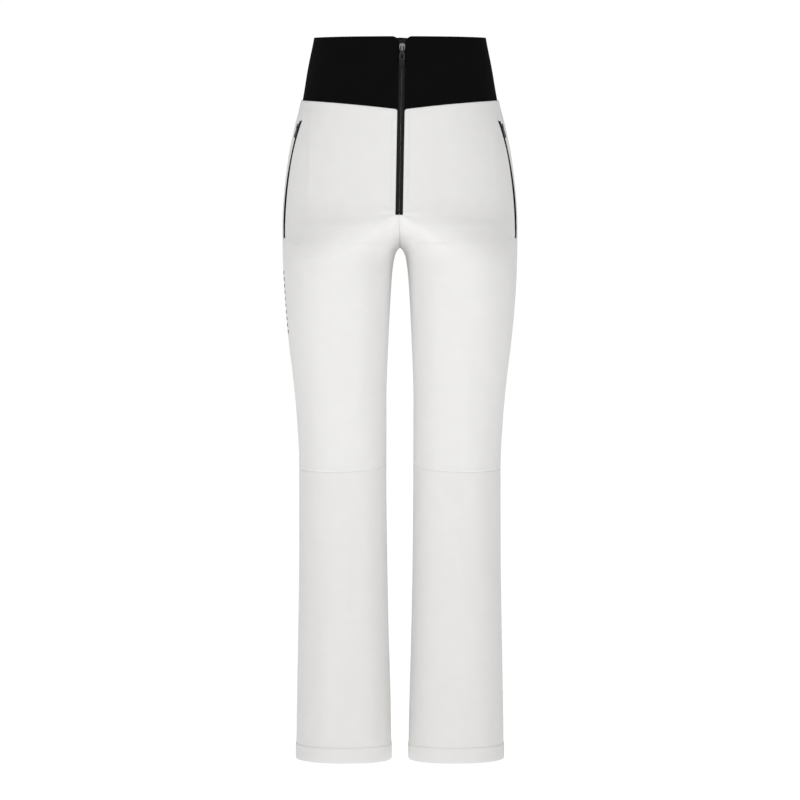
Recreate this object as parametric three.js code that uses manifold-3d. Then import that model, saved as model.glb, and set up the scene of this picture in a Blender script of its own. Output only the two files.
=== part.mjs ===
// High-waisted ski pants on their worn shape: shell panels, an elastic waistband with its facing,
// a centre-front zip, two zipped hip pockets with their bags, turned hems and inner snow gaiters.
// Millimetres, +Z up, the wearer faces -Y and the wearer's left is +X. Heights are counted up from
// the hem while modelling. The exported group's origin is the centre of the waist opening.
import * as THREE from "three";
import { mergeVertices } from "three/addons/utils/BufferGeometryUtils.js";
import Module from "manifold-3d";

const wasm = await Module();
wasm.setup();

// ---- Driving dimensions ----
const SIDE_LENGTH = 1089; // hem to waist edge at the side
const SEAM_HEIGHT = 994; // waistband seam at the side
const HIP_HEIGHT = 812;
const CROTCH_HEIGHT = 771;
const KNEE_HEIGHT = 440;
const HEM_DEPTH = 23.5;
const WAIST_HALF_WIDTH = 132;
const HIP_HALF_WIDTH = 178;
const KNEE_HALF_WIDTH = 152; // from the middle of the pants to the outer side of the leg
const HEM_HALF_WIDTH = 157;
const LEG_GAP = 20.4; // from the middle to the inner side of the leg, at the knee
const FABRIC = 2.2; // insulated softshell
const SEAM_GAP = 0.25; // each side of a seam
const SQUARENESS = 2.15; // 2 is an ellipse

// ---- Fly and pocket dimensions ----
const FLY_BOTTOM = 813;
const FLY_TOP = 1074;
const FLY_CHANNEL = 5.5; // half the opening between the shell edges
const TAPE_INSET = 3.4; // below the shell's face
const TAPE_THICK = 1.0;
const TAPE_WIDTH = 14;
const TEETH_INSET = 4.8;
const TEETH_THICK = 1.6;
const TEETH_WIDTH = 2.2;
const ZIP_GAP = 0.75; // half the gap between the two tapes, which the slider's web runs in
const POCKET_TOP = 957;
const POCKET_BOTTOM = 785;
const POCKET_TOP_OFFSET = 43; // in front of the side seam
const POCKET_REAR_OFFSET = 32; // where the line bows closest to the side seam
const POCKET_REAR_HEIGHT = 832;
const POCKET_CHANNEL = 4.4; // half the opening between the shell edges
const POCKET_TAPE_INSET = 4.6;

// ---- Curves of the worn shape: [height, value] ----
const OUTER = spline([
  [0, HEM_HALF_WIDTH], [150, 154.6], [300, 152.4], [KNEE_HEIGHT, KNEE_HALF_WIDTH], [510, 155.3],
  [571, 161], [631, 168.3], [691, 173.8], [752, 177], [HIP_HEIGHT, HIP_HALF_WIDTH],
  [858, 175.2], [903, 169.8], [949, 160.6], [SEAM_HEIGHT, 149.4], [1040, 141.5],
  [SIDE_LENGTH, WAIST_HALF_WIDTH], [1110, 129],
]);
const INNER = spline([
  [0, 12.8], [86, 14.4], [237, 18.2], [KNEE_HEIGHT, LEG_GAP], [540, 20.4], [631, 17.4], [691, 14.6],
  [735, 11.6], [755, 8.6], [766, 4.6], [CROTCH_HEIGHT, 0], [780, -11], [792, -34], [806, -75],
  [825, -160], [860, -260], [1110, -260],
]);
const FRONT = spline([
  [0, -84], [150, -75], [300, -72], [KNEE_HEIGHT, -79], [600, -94], [720, -107], [780, -114],
  [800, -115.8], [FLY_BOTTOM, -115], [880, -111], [947, -107], [1013, -103], [1110, -97.2],
]);
const BACK = spline([
  [0, 82], [150, 77], [300, 76], [KNEE_HEIGHT, 66], [600, 80], [700, 103], [760, 122],
  [820, 137], [870, 138], [930, 126], [SEAM_HEIGHT, 112], [1050, 106], [1110, 108],
]);
// How far off the middle the front and the back of each leg peak; 0 where they run across.
const FRONT_PEAK = spline([
  [0, 84], [KNEE_HEIGHT, 86], [700, 90], [745, 86], [CROTCH_HEIGHT, 70], [795, 38], [815, 14],
  [840, 0], [1110, 0],
]);
const BACK_PEAK = spline([
  [0, 86], [KNEE_HEIGHT, 87], [700, 92], [760, 88], [810, 72], [870, 44], [930, 14], [965, 0],
  [1110, 0],
]);

// Height shifts that bend the waist edge, the waistband seam and the knee seam off the level.
// "along" runs from 0 at the middle or inseam to 1 at the side seam.
const WAIST_EDGE = { front: (along) => -11 * (1 - along), back: (along) => 12 * (1 - along) };
const BAND_SEAM = { front: (along) => -25 * (1 - along), back: (along) => 7 * (1 - along) };
const KNEE_SEAM = {
  front: (along) => 7 - 8 * along - 10 * Math.sin(Math.PI * along),
  back: (along) => 7 - 8 * along,
};

// A smooth curve through [position, value] stations that never overshoots between two of them.
function spline(stations) {
  const slope = (i) => (stations[i + 1][1] - stations[i][1]) / (stations[i + 1][0] - stations[i][0]);
  const last = stations.length - 1;
  const tangents = stations.map((_, i) => {
    if (i === 0) return slope(0);
    if (i === last) return slope(last - 1);
    const [a, b] = [slope(i - 1), slope(i)];
    return a * b <= 0 ? 0 : (2 * a * b) / (a + b);
  });
  return (position) => {
    const at = Math.min(Math.max(position, stations[0][0]), stations[last][0]);
    const found = stations.findIndex(([end]) => end > at);
    const i = found < 0 ? last - 1 : found - 1;
    const span = stations[i + 1][0] - stations[i][0];
    const t = (at - stations[i][0]) / span;
    const u = 1 - t;
    return (
      u * u * (1 + 2 * t) * stations[i][1] + t * t * (3 - 2 * t) * stations[i + 1][1] +
      span * t * u * (u * tangents[i] - t * tangents[i + 1])
    );
  };
}

function smoothstep(from, to, value) {
  const t = Math.min(Math.max((value - from) / (to - from), 0), 1);
  return t * t * (3 - 2 * t);
}

// ---- The worn surface ----
const WALK_STEPS = 60;
const walks = new Map();

// Half the level section at a height, from the middle (or the inseam) to the side seam on one face,
// as points with the distance walked to each.
function walk(face, height) {
  const key = face + height.toFixed(3);
  if (walks.has(key)) return walks.get(key);
  const [depthCurve, peakCurve] = face === "front" ? [FRONT, FRONT_PEAK] : [BACK, BACK_PEAK];
  const [depth, peak] = [depthCurve(height), peakCurve(height)];
  const [outer, inner] = [OUTER(height), INNER(height)];
  const middle = (FRONT(height) + BACK(height)) / 2;
  const power = 2 / SQUARENESS;
  const at = (edge, angle) => [
    peak + (edge - peak) * Math.cos(angle) ** power,
    middle + (depth - middle) * Math.max(Math.sin(angle), 0) ** power,
  ];
  const cut = inner < 0 ? Math.acos((peak / (peak - inner)) ** (1 / power)) : 0;
  const points = [];
  if (peak > 0.01)
    for (let i = 0; i < WALK_STEPS; i++)
      points.push(at(inner, cut + ((Math.PI / 2 - cut) * i) / WALK_STEPS));
  for (let i = 0; i <= WALK_STEPS; i++)
    points.push(at(outer, (Math.PI / 2) * (1 - i / WALK_STEPS)));
  const lengths = [0];
  for (let i = 1; i < points.length; i++) {
    const [before, after] = [points[i - 1], points[i]];
    lengths.push(lengths[i - 1] + Math.hypot(after[0] - before[0], after[1] - before[1]));
  }
  const made = { points, lengths, length: lengths[lengths.length - 1] };
  walks.set(key, made);
  return made;
}

// The point of the shell's outer face at a distance from the middle or inseam.
function surface(face, distance, height) {
  const { points, lengths, length } = walk(face, height);
  const at = Math.min(Math.max(distance, 0), length);
  let i = 1;
  while (i < lengths.length - 1 && lengths[i] < at) i++;
  const t = (at - lengths[i - 1]) / (lengths[i] - lengths[i - 1]);
  return new THREE.Vector3(
    points[i - 1][0] + t * (points[i][0] - points[i - 1][0]),
    points[i - 1][1] + t * (points[i][1] - points[i - 1][1]),
    height,
  );
}

// The outward normal there, from small steps along both directions.
function normal(face, distance, height) {
  const [reach, rise] = [0.8, 1.5];
  const { length } = walk(face, height);
  const share = Math.min(Math.max(distance / length, 0), 1);
  const left = Math.max(distance - reach, 0);
  const right = Math.min(distance + reach, length);
  const across = surface(face, right, height).sub(surface(face, left, height));
  const above = surface(face, share * walk(face, height + rise).length, height + rise);
  const below = surface(face, share * walk(face, height - rise).length, height - rise);
  const up = above.sub(below);
  const out = across.cross(up);
  if (distance <= 0 && height > CROTCH_HEIGHT) out.x = 0;
  return out.multiplyScalar(face === "front" ? 1 : -1).normalize();
}

// The fly leans: it sits a little to the left at the waist and a little to the right at its foot.
const FLY_LEAN_TOP = 3.4;
const FLY_LEAN_BOTTOM = -1.3;
const FLY_LEAN_REACH = 70;
function flyLean(height) {
  const rise = (height - FLY_BOTTOM) / (FLY_TOP - FLY_BOTTOM);
  const leaning = FLY_LEAN_BOTTOM + (FLY_LEAN_TOP - FLY_LEAN_BOTTOM) * rise;
  return leaning * smoothstep(CROTCH_HEIGHT, FLY_BOTTOM, height);
}
function leaned(point) {
  if (point.y < 0)
    point.x += flyLean(point.z) * (1 - smoothstep(0, FLY_LEAN_REACH, Math.abs(point.x)));
  return point;
}

// A point below the shell's face, on the wearer's left (side 1) or right (side -1).
function placed(side, face, distance, height, inset) {
  const point = surface(face, distance, height).addScaledVector(normal(face, distance, height), -inset);
  point.x *= side;
  return leaned(point);
}

// ---- Solids ----
// A closed shell between two grids of points of the same size. A ring joins its last column to its first.
function shellGeometry(outer, inner, ring = false) {
  const [rows, columns] = [outer.length, outer[0].length];
  const corner = (layer, i, j) => (layer * rows + i) * columns + (j % columns);
  const index = [];
  const quad = (a, b, c, d) => index.push(a, b, c, a, c, d);
  const spans = ring ? columns : columns - 1;
  for (let i = 0; i < rows - 1; i++)
    for (let j = 0; j < spans; j++) {
      quad(corner(0, i, j), corner(0, i, j + 1), corner(0, i + 1, j + 1), corner(0, i + 1, j));
      quad(corner(1, i, j), corner(1, i + 1, j), corner(1, i + 1, j + 1), corner(1, i, j + 1));
    }
  const last = rows - 1;
  for (let j = 0; j < spans; j++) {
    quad(corner(0, 0, j), corner(1, 0, j), corner(1, 0, j + 1), corner(0, 0, j + 1));
    quad(corner(0, last, j), corner(0, last, j + 1), corner(1, last, j + 1), corner(1, last, j));
  }
  if (!ring)
    for (let i = 0; i < rows - 1; i++) {
      quad(corner(0, i, 0), corner(0, i + 1, 0), corner(1, i + 1, 0), corner(1, i, 0));
      const j = columns - 1;
      quad(corner(0, i, j), corner(1, i, j), corner(1, i + 1, j), corner(0, i + 1, j));
    }
  const positions = [...outer.flat(), ...inner.flat()].flatMap((p) => p.toArray());
  const geometry = new THREE.BufferGeometry();
  geometry.setAttribute("position", new THREE.Float32BufferAttribute(positions, 3));
  geometry.setIndex(index);
  return facingOut(geometry);
}

// The same geometry with its faces turned outwards.
function facingOut(geometry) {
  const p = geometry.getAttribute("position");
  const index = Array.from(geometry.index.array);
  const [a, b, c] = [new THREE.Vector3(), new THREE.Vector3(), new THREE.Vector3()];
  let volume = 0;
  for (let i = 0; i < index.length; i += 3) {
    a.fromBufferAttribute(p, index[i]);
    b.fromBufferAttribute(p, index[i + 1]);
    c.fromBufferAttribute(p, index[i + 2]);
    volume += a.dot(b.cross(c));
  }
  if (volume < 0)
    for (let i = 0; i < index.length; i += 3) [index[i + 1], index[i + 2]] = [index[i + 2], index[i + 1]];
  geometry.setIndex(index);
  return geometry;
}

// The same geometry with its coincident corners joined.
function joined(geometry) {
  const bare = new THREE.BufferGeometry();
  bare.setAttribute("position", geometry.getAttribute("position"));
  if (geometry.index) bare.setIndex(geometry.index);
  return mergeVertices(bare, 1e-4);
}

function solidOf(geometry) {
  const merged = joined(geometry);
  return new wasm.Manifold(
    new wasm.Mesh({
      numProp: 3,
      vertProperties: merged.getAttribute("position").array,
      triVerts: new Uint32Array(merged.index.array),
    }),
  );
}

function geometryOf(solid) {
  const mesh = solid.getMesh();
  const geometry = new THREE.BufferGeometry();
  geometry.setAttribute("position", new THREE.Float32BufferAttribute(mesh.vertProperties, 3));
  geometry.setIndex(Array.from(mesh.triVerts));
  return geometry;
}

// Even steps from one value to another, both included.
function steps(from, to, count) {
  return Array.from({ length: count + 1 }, (_, i) => from + ((to - from) * i) / count);
}

// A grid of points on one face: "edges" gives the first and last distance at each height, "shares"
// how the columns divide the way between them, and "shift" moves a row off the level.
function grid({ side, face, heights, shares = [0, 1], edges, inset, shift = () => 0 }) {
  return heights.map((height) =>
    shares.map((share) => {
      const raised = height + shift(height, share);
      const [from, to] = edges(raised, walk(face, raised).length);
      const distance = from + (to - from) * share;
      const depth = typeof inset === "function" ? inset(raised, share) : inset;
      return placed(side, face, distance, raised, depth);
    }),
  );
}

function patch(options, from, to) {
  return shellGeometry(grid({ ...options, inset: from }), grid({ ...options, inset: to }));
}

// ---- Materials ----
const shell = new THREE.MeshStandardMaterial({ color: 0xe9e8e6, roughness: 0.75, metalness: 0 });
const band = new THREE.MeshStandardMaterial({ color: 0x0e0d0d, roughness: 0.9, metalness: 0 });
const lining = new THREE.MeshStandardMaterial({ color: 0xd6d5d2, roughness: 0.6, metalness: 0 });
const webbing = new THREE.MeshStandardMaterial({ color: 0x1c1b1b, roughness: 0.8, metalness: 0 });
const nickel = new THREE.MeshStandardMaterial({ color: 0x9b9894, roughness: 0.3, metalness: 1 });
const gunmetal = new THREE.MeshStandardMaterial({ color: 0x3a3836, roughness: 0.35, metalness: 1 });
const black = new THREE.MeshStandardMaterial({ color: 0x101010, roughness: 0.5, metalness: 0 });
const silicone = new THREE.MeshStandardMaterial({ color: 0x2a2a2a, roughness: 0.4, metalness: 0 });

const pants = new THREE.Group();
const worn = new THREE.Group(); // holds what is modelled with heights from the hem
worn.position.z = -SIDE_LENGTH;
pants.add(worn);

function add(name, geometry, material, parent = worn) {
  const mesh = new THREE.Mesh(geometry, material);
  mesh.name = name;
  parent.add(mesh);
  return mesh;
}

const sideName = (side) => (side > 0 ? "left" : "right");

// Bends rows near the waistband seam and near the knee seam to follow those seams.
function bodyShift(face) {
  return (height, along) =>
    BAND_SEAM[face](along) * smoothstep(880, SEAM_HEIGHT, height) +
    KNEE_SEAM[face](along) * (1 - smoothstep(0, 130, Math.abs(height - KNEE_HEIGHT)));
}

// ---- Shell panels ----
// The front edge follows the fly's channel down to its foot, then the centre seam and the inseam.
function frontEdge(height) {
  return height > FLY_BOTTOM ? FLY_CHANNEL : SEAM_GAP;
}

const FOOT_STEP = 0.5; // the channel's square foot
const frontUpperHeights = [
  KNEE_HEIGHT + SEAM_GAP, 480, 520, 560, 600, 640, 680, 715, 740, 757, 767, 774, 782, 792, 803,
  FLY_BOTTOM - FOOT_STEP, FLY_BOTTOM + FOOT_STEP, 835, 865, 900, 935, 967, SEAM_HEIGHT - SEAM_GAP,
];
const backUpperHeights = [
  KNEE_HEIGHT + SEAM_GAP, 480, 520, 560, 600, 640, 680, 715, 740, 757, 767, 774, 782, 792, 806, 825,
  848, 875, 905, 935, 967, SEAM_HEIGHT - SEAM_GAP,
];
// Columns lie closer together where a panel turns round the side of the body.
const frontShares = [0, 0.17, 0.34, 0.48, 0.6, 0.68, 0.75, 0.81, 0.87, 0.94, 1];
const backShares = [0, 0.12, 0.24, 0.36, 0.48, 0.6, 0.72, 0.82, 0.91, 1];
const lowerShares = steps(0, 1, 9);
const lowerHeights = [HEM_DEPTH + SEAM_GAP, 90, 160, 230, 300, 360, 405, KNEE_HEIGHT - SEAM_GAP];

function upperPanel(side, face) {
  const front = face === "front";
  return patch({
    side, face,
    shares: front ? frontShares : backShares,
    heights: front ? frontUpperHeights : backUpperHeights,
    edges: (height, length) => [front ? frontEdge(height) : SEAM_GAP, length - SEAM_GAP],
    shift: bodyShift(face),
  }, 0, FABRIC);
}

function lowerPanel(side, face) {
  return patch({
    side, face, heights: lowerHeights, shares: lowerShares,
    edges: (_, length) => [SEAM_GAP, length - SEAM_GAP],
    shift: bodyShift(face),
  }, 0, FABRIC);
}

// ---- Pocket zips: true arcs laid along the front panels near the side seams ----
// Everything on a pocket zip is swept round one axis, so the slider can run the whole way.
function pocketPoint(side, height) {
  const rise = (height - POCKET_REAR_HEIGHT) / (POCKET_TOP - POCKET_REAR_HEIGHT);
  const offset = POCKET_REAR_OFFSET + (POCKET_TOP_OFFSET - POCKET_REAR_OFFSET) * rise ** 2;
  return placed(side, "front", walk("front", height).length - offset, height, POCKET_TAPE_INSET);
}

// The circle through the line's top, middle and foot, and the zip's axes at its middle.
function pocketArc(side) {
  const middleHeight = (POCKET_TOP + POCKET_BOTTOM) / 2;
  const [top, middle, foot] = [POCKET_TOP, middleHeight, POCKET_BOTTOM].map((h) => pocketPoint(side, h));
  const [toMiddle, toFoot] = [middle.clone().sub(top), foot.clone().sub(top)];
  const plane = toMiddle.clone().cross(toFoot);
  const centre = plane.clone().cross(toMiddle).multiplyScalar(toFoot.lengthSq());
  centre.addScaledVector(toFoot.clone().cross(plane), toMiddle.lengthSq());
  centre.divideScalar(2 * plane.lengthSq()).add(top);
  const axis = plane.normalize();
  const radius = middle.clone().sub(centre);
  const up = radius.clone().cross(axis).normalize();
  const skin = normal("front", walk("front", middleHeight).length - POCKET_REAR_OFFSET, middleHeight);
  skin.x *= side;
  const across = skin.cross(up).normalize();
  const out = up.clone().cross(across);
  const angleTo = (point) => point.clone().sub(centre).angleTo(radius);
  return { centre, axis, middle, across, out, up, topAngle: -angleTo(top), footAngle: angleTo(foot),
    radius: radius.length() };
}

// The zip's axes after turning down the arc by an angle from its middle.
function arcFrame(arc, angle) {
  const turned = (v) => v.clone().applyAxisAngle(arc.axis, angle);
  const at = turned(arc.middle.clone().sub(arc.centre)).add(arc.centre);
  return { at, across: turned(arc.across), out: turned(arc.out), up: turned(arc.up) };
}

// A strip along the arc: across the zip and out from the tape's face, with each end moved in or
// out along the line by "over".
const ARC_STEPS = 16;
function arcStrip(arc, [fromAcross, toAcross], [fromOut, toOut], [overTop, overFoot] = [0, 0]) {
  const angles = steps(arc.topAngle - overTop / arc.radius, arc.footAngle + overFoot / arc.radius, ARC_STEPS);
  const rows = (out) =>
    angles.map((angle) => {
      const frame = arcFrame(arc, angle);
      const point = (across) =>
        frame.at.clone().addScaledVector(frame.across, across).addScaledVector(frame.out, out);
      return [point(fromAcross), point(toAcross)];
    });
  return shellGeometry(rows(fromOut), rows(toOut));
}

const pocketArcs = new Map([1, -1].map((side) => [side, pocketArc(side)]));

function frontUpperPanel(side) {
  const slot = arcStrip(pocketArcs.get(side), [-POCKET_CHANNEL, POCKET_CHANNEL], [-3, 9]);
  return geometryOf(solidOf(upperPanel(side, "front")).subtract(solidOf(slot)));
}

function addShellPanels(side) {
  const name = sideName(side);
  add(`front_upper_${name}`, frontUpperPanel(side), shell);
  add(`back_upper_${name}`, upperPanel(side, "back"), shell);
  add(`front_lower_${name}`, lowerPanel(side, "front"), shell);
  add(`back_lower_${name}`, lowerPanel(side, "back"), shell);
}

// ---- Rings round a leg: hem bands and gaiters ----
function legRing(side, heights, columns, from, to) {
  const layer = (inset) =>
    heights.map((height) =>
      ["front", "back"].flatMap((face) => {
        const length = walk(face, height).length;
        return Array.from({ length: columns }, (_, j) => {
          const share = face === "front" ? j / columns : 1 - j / columns;
          return placed(side, face, share * length, height, inset(height));
        });
      }),
    );
  return shellGeometry(layer(from), layer(to), true);
}

const GAITER_TOP = 205;
const GAITER_CUFF = 58;
const GAITER_BOTTOM = 32;
function addLegRings(side) {
  const name = sideName(side);
  const gaiterInset = (height) => 3.6 + 12 * smoothstep(GAITER_TOP, GAITER_CUFF + 20, height);
  add(`hem_band_${name}`,
    legRing(side, [0, HEM_DEPTH - SEAM_GAP], 14, () => -0.9, () => FABRIC + 0.6), shell);
  const gaiterBack = (height) => gaiterInset(height) + 1.2;
  add(`gaiter_${name}`,
    legRing(side, [GAITER_CUFF, 90, 130, 170, GAITER_TOP], 12, gaiterInset, gaiterBack), lining);
  add(`gaiter_elastic_${name}`,
    legRing(side, [GAITER_BOTTOM, GAITER_CUFF - 0.5], 12, () => 14.6, () => 17), webbing);
}

// ---- Waistband ----
const BAND_THICK = 2.2;
const bandHeights = [SEAM_HEIGHT + SEAM_GAP, 1018, 1042, 1066, SIDE_LENGTH];
function bandShift(face) {
  return (height, along) => {
    const rise = (height - SEAM_HEIGHT) / (SIDE_LENGTH - SEAM_HEIGHT);
    return BAND_SEAM[face](along) * (1 - rise) + WAIST_EDGE[face](along) * rise;
  };
}

function bandGrid(side, face, extra, heights = bandHeights) {
  const inset = (_, along) => 0.4 + 1.8 * Math.min(along * 1.6, 1) + extra;
  const from = face === "front" ? FLY_CHANNEL - 0.5 : 0;
  return grid({
    side, face, heights, inset, shares: steps(0, 1, 10), shift: bandShift(face),
    edges: (_, length) => [from, length - SEAM_GAP],
  });
}

function frontBand(side) {
  return shellGeometry(bandGrid(side, "front", 0), bandGrid(side, "front", BAND_THICK));
}

// Rows of a left and a right grid joined across the middle of the back.
function acrossBack(rowsOf) {
  const [left, right] = [rowsOf(1), rowsOf(-1)];
  return left.map((row, i) => [...[...row].reverse(), ...right[i].slice(1)]);
}

function backBand() {
  const layer = (extra) => acrossBack((side) => bandGrid(side, "back", extra));
  return shellGeometry(layer(0), layer(BAND_THICK));
}

// The facing runs from one side of the fly round the back to the other, in one piece. It starts
// one column in from the fly, clear of the zip's tape.
const FACING_INSET = BAND_THICK + 0.5;
const FACING_THICK = 1.2;
function roundWaist(heights, extra) {
  const half = (side) => {
    const back = bandGrid(side, "back", extra, heights);
    const front = bandGrid(side, "front", extra, heights);
    return back.map((row, i) => [...row.slice(0, -1), ...front[i].slice(1).reverse()]);
  };
  const [left, right] = [half(1), half(-1)];
  return left.map((row, i) => [...[...row].reverse(), ...right[i].slice(1)]);
}

function addWaistband() {
  add("waistband_front_left", frontBand(1), band);
  add("waistband_front_right", frontBand(-1), band);
  add("waistband_back", backBand(), band);
  const facingHeights = [SEAM_HEIGHT + 4, 1018, 1042, 1066, SIDE_LENGTH - 1.5];
  const facingBack = FACING_INSET + FACING_THICK;
  add("waistband_facing",
    shellGeometry(roundWaist(facingHeights, FACING_INSET), roundWaist(facingHeights, facingBack)), band);
  const gripHeights = [1060, SIDE_LENGTH - 9];
  const [gripFace, gripBack] = [facingBack + 0.5, facingBack + 1.3];
  add("waist_grip_tape",
    shellGeometry(roundWaist(gripHeights, gripFace), roundWaist(gripHeights, gripBack)), silicone);
}

// A ribbon folded double that hangs inside the side of the waistband.
function addHangerLoop(side) {
  const [top, bottom, width, gap, thick] = [1050, 996, 5, 0.8, 0.9];
  const heights = [bottom, 1023, top];
  const length = walk("front", top).length;
  const strip = (from) =>
    shellGeometry(
      grid({ side, face: "front", heights, inset: 8.2, edges: () => [from, from + width] }),
      grid({ side, face: "front", heights, inset: 8.2 + thick, edges: () => [from, from + width] }),
    );
  const start = length - 2 * width - gap - 8;
  const fold = shellGeometry(
    grid({ side, face: "front", heights: [bottom - 5, bottom + 0.1], inset: 8.2,
      edges: () => [start, start + 2 * width + gap] }),
    grid({ side, face: "front", heights: [bottom - 5, bottom + 0.1], inset: 8.2 + thick,
      edges: () => [start, start + 2 * width + gap] }),
  );
  const loop = solidOf(strip(start)).add(solidOf(strip(start + width + gap))).add(solidOf(fold));
  add(`hanger_loop_${sideName(side)}`, geometryOf(loop), webbing);
}

// ---- Front zip ----
// A strip beside the fly's line, straight from its foot to its top.
function flyStrip(side, [fromAcross, toAcross], [fromInset, toInset], [bottom, top]) {
  return patch({
    side, face: "front", heights: steps(bottom, top, 8),
    edges: () => [fromAcross, toAcross],
  }, fromInset, toInset);
}

const SLIDER_REST = 1062; // closed
const SLIDER_STOP = FLY_BOTTOM + 13.5; // fully open
function addFly() {
  const tapeBottom = FLY_BOTTOM + 1;
  const teeth = [ZIP_GAP, ZIP_GAP + TEETH_WIDTH];
  const tapeFaces = [TAPE_INSET, TAPE_INSET + TAPE_THICK];
  for (const side of [1, -1]) {
    const name = sideName(side);
    add(`fly_tape_${name}`,
      flyStrip(side, [ZIP_GAP, TAPE_WIDTH], tapeFaces, [tapeBottom, FLY_TOP]), webbing);
    add(`fly_teeth_${name}`,
      flyStrip(side, teeth, [TEETH_INSET, TEETH_INSET + TEETH_THICK], [FLY_BOTTOM + 7, FLY_TOP - 6]), black);
    add(`fly_top_stop_${name}`,
      flyStrip(side, teeth, [TEETH_INSET, TEETH_INSET + TEETH_THICK], [FLY_TOP - 5.5, FLY_TOP - 2]), nickel);
  }
  const stop = acrossFly([-3, 0, 3], [FLY_BOTTOM + 2, FLY_BOTTOM + 6.5], TEETH_INSET, TEETH_THICK);
  add("fly_bottom_stop", stop, black);
  // The wind flap behind the zip is sewn to the wearer's right and reaches past the teeth to the left.
  const underlap = acrossFly([-20, -10, 0, 12, 24], steps(FLY_BOTTOM + 4, FLY_TOP - 3, 6), 8.4, 1.4);
  add("fly_underlap", underlap, lining);
}

// A strip that crosses the fly's line; positions to the wearer's right are negative.
function acrossFly(positions, heights, inset, thick) {
  const rows = (depth) =>
    heights.map((height) =>
      positions.map((at) => placed(at < 0 ? -1 : 1, "front", Math.abs(at), height, depth)));
  return shellGeometry(rows(inset), rows(inset + thick));
}

// ---- Zip sliders and pullers ----
// Both are made in a slider's own axes: x across the zip, y out of the cloth, z up the zip, with
// the origin on the tape's outer face.
const EXTRUDE = { bevelEnabled: false, curveSegments: 4 };
function plate(shape, from, to) {
  const geometry = new THREE.ExtrudeGeometry(shape, { ...EXTRUDE, depth: to - from });
  geometry.rotateX(-Math.PI / 2);
  geometry.scale(1, 1, -1);
  geometry.translate(0, from, 0);
  return solidOf(facingOut(joined(geometry)));
}

function block([x, y, z], [atX, atY, atZ]) {
  const geometry = new THREE.BoxGeometry(x, y, z);
  geometry.translate(atX, atY, atZ);
  return solidOf(geometry);
}

// A slider's plate: narrow at its foot and swelling to two shoulders at its head.
function sliderShape(width, length) {
  const [half, foot, end] = [width / 2, width * 0.36, length / 2];
  const shape = new THREE.Shape();
  shape.moveTo(-foot, -end);
  shape.lineTo(foot, -end);
  shape.quadraticCurveTo(half, -end * 0.3, half, end * 0.35);
  shape.quadraticCurveTo(half, end, half * 0.45, end);
  shape.lineTo(-half * 0.45, end);
  shape.quadraticCurveTo(-half, end, -half, end * 0.35);
  shape.quadraticCurveTo(-half, -end * 0.3, -foot, -end);
  return shape;
}

function sliderSolid({ width, length, pivot }) {
  const innerFace = -(TEETH_INSET + TEETH_THICK - TAPE_INSET) - 0.4;
  const outerPlate = plate(sliderShape(width, length), 0.3, 1.7);
  const innerPlate = plate(sliderShape(width, length), innerFace - 1, innerFace);
  const webSize = [0.8, 1.7 - innerFace + 0.5, length * 0.5];
  const web = block(webSize, [0, (1.7 + innerFace - 0.5) / 2, length * 0.18]);
  const bridgeTop = pivot + 1.7;
  const legs = [-1, 1].map((end) =>
    block([1.6, bridgeTop - 1.5, 1.2], [0, (bridgeTop + 1.5) / 2, end * 3]));
  const top = block([1.6, 0.8, 7.2], [0, bridgeTop - 0.4, 0]);
  return [innerPlate, web, ...legs, top].reduce((whole, piece) => whole.add(piece), outerPlate);
}

// The puller hangs from a cross pin under the slider's bridge. Its plate has a window round the
// bridge and, on the fly, a slot at its foot for a cord end.
function pullerSolid({ neck, width, length, thick, slot }) {
  const [head, foot] = [1.2, -length];
  const shape = new THREE.Shape();
  shape.moveTo(-neck / 2, head);
  shape.lineTo(-neck / 2, foot * 0.42);
  shape.quadraticCurveTo(-width / 2, foot * 0.5, -width / 2, foot * 0.62);
  shape.lineTo(-width / 2, foot + 1.5);
  shape.quadraticCurveTo(-width / 2, foot, -width / 2 + 1.5, foot);
  shape.lineTo(width / 2 - 1.5, foot);
  shape.quadraticCurveTo(width / 2, foot, width / 2, foot + 1.5);
  shape.lineTo(width / 2, foot * 0.62);
  shape.quadraticCurveTo(width / 2, foot * 0.5, neck / 2, foot * 0.42);
  shape.lineTo(neck / 2, head);
  shape.holes.push(windowShape(-1.35, 1.35, -0.6, -5));
  shape.holes.push(windowShape(-1.35, 1.35, head - 0.01, 0.6));
  if (slot) shape.holes.push(windowShape(-slot[0] / 2, slot[0] / 2, foot + slot[1] + 2, foot + 2));
  return plate(shape, -thick / 2, thick / 2);
}

function windowShape(left, right, top, bottom) {
  const path = new THREE.Path();
  path.moveTo(left, top);
  path.lineTo(right, top);
  path.lineTo(right, bottom);
  path.lineTo(left, bottom);
  path.closePath();
  return path;
}

// Sets a mesh's place from three axes and a point.
function orient(mesh, across, out, up, at) {
  mesh.matrixAutoUpdate = false;
  mesh.matrix.makeBasis(across, out, up).setPosition(at);
  return mesh;
}

// The point on the fly's line at the tape's outer face, and the zip's axes there.
function flyFrame(height) {
  const at = placed(1, "front", 0, height, TAPE_INSET);
  const lowest = placed(1, "front", 0, SLIDER_STOP, TAPE_INSET);
  const up = placed(1, "front", 0, FLY_TOP, TAPE_INSET).sub(lowest).normalize();
  const out = placed(1, "front", 0, height, 0).sub(at);
  const across = out.cross(up).normalize();
  return { across, out: up.clone().cross(across), up, at };
}

// "pivot" is how far the puller's pin stands out from the tape.
const FLY_SLIDER = { width: 8.4, length: 11, pivot: 4.4 };
const FLY_PULLER = { neck: 5.8, width: 8.6, length: 19.5, thick: 1.2, slot: [3, 6] };
const POCKET_SLIDER = { width: 7.2, length: 10, pivot: 6.2 };
const POCKET_SLIDER_REST = 7; // down the line from its top
const BAG_INSET = 11.5;
const POCKET_PULLER = { neck: 5.6, width: 7.4, length: 18, thick: 1.2 };
const CORD_END = { width: 8.4, length: 9, thick: 2.2 };

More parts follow.
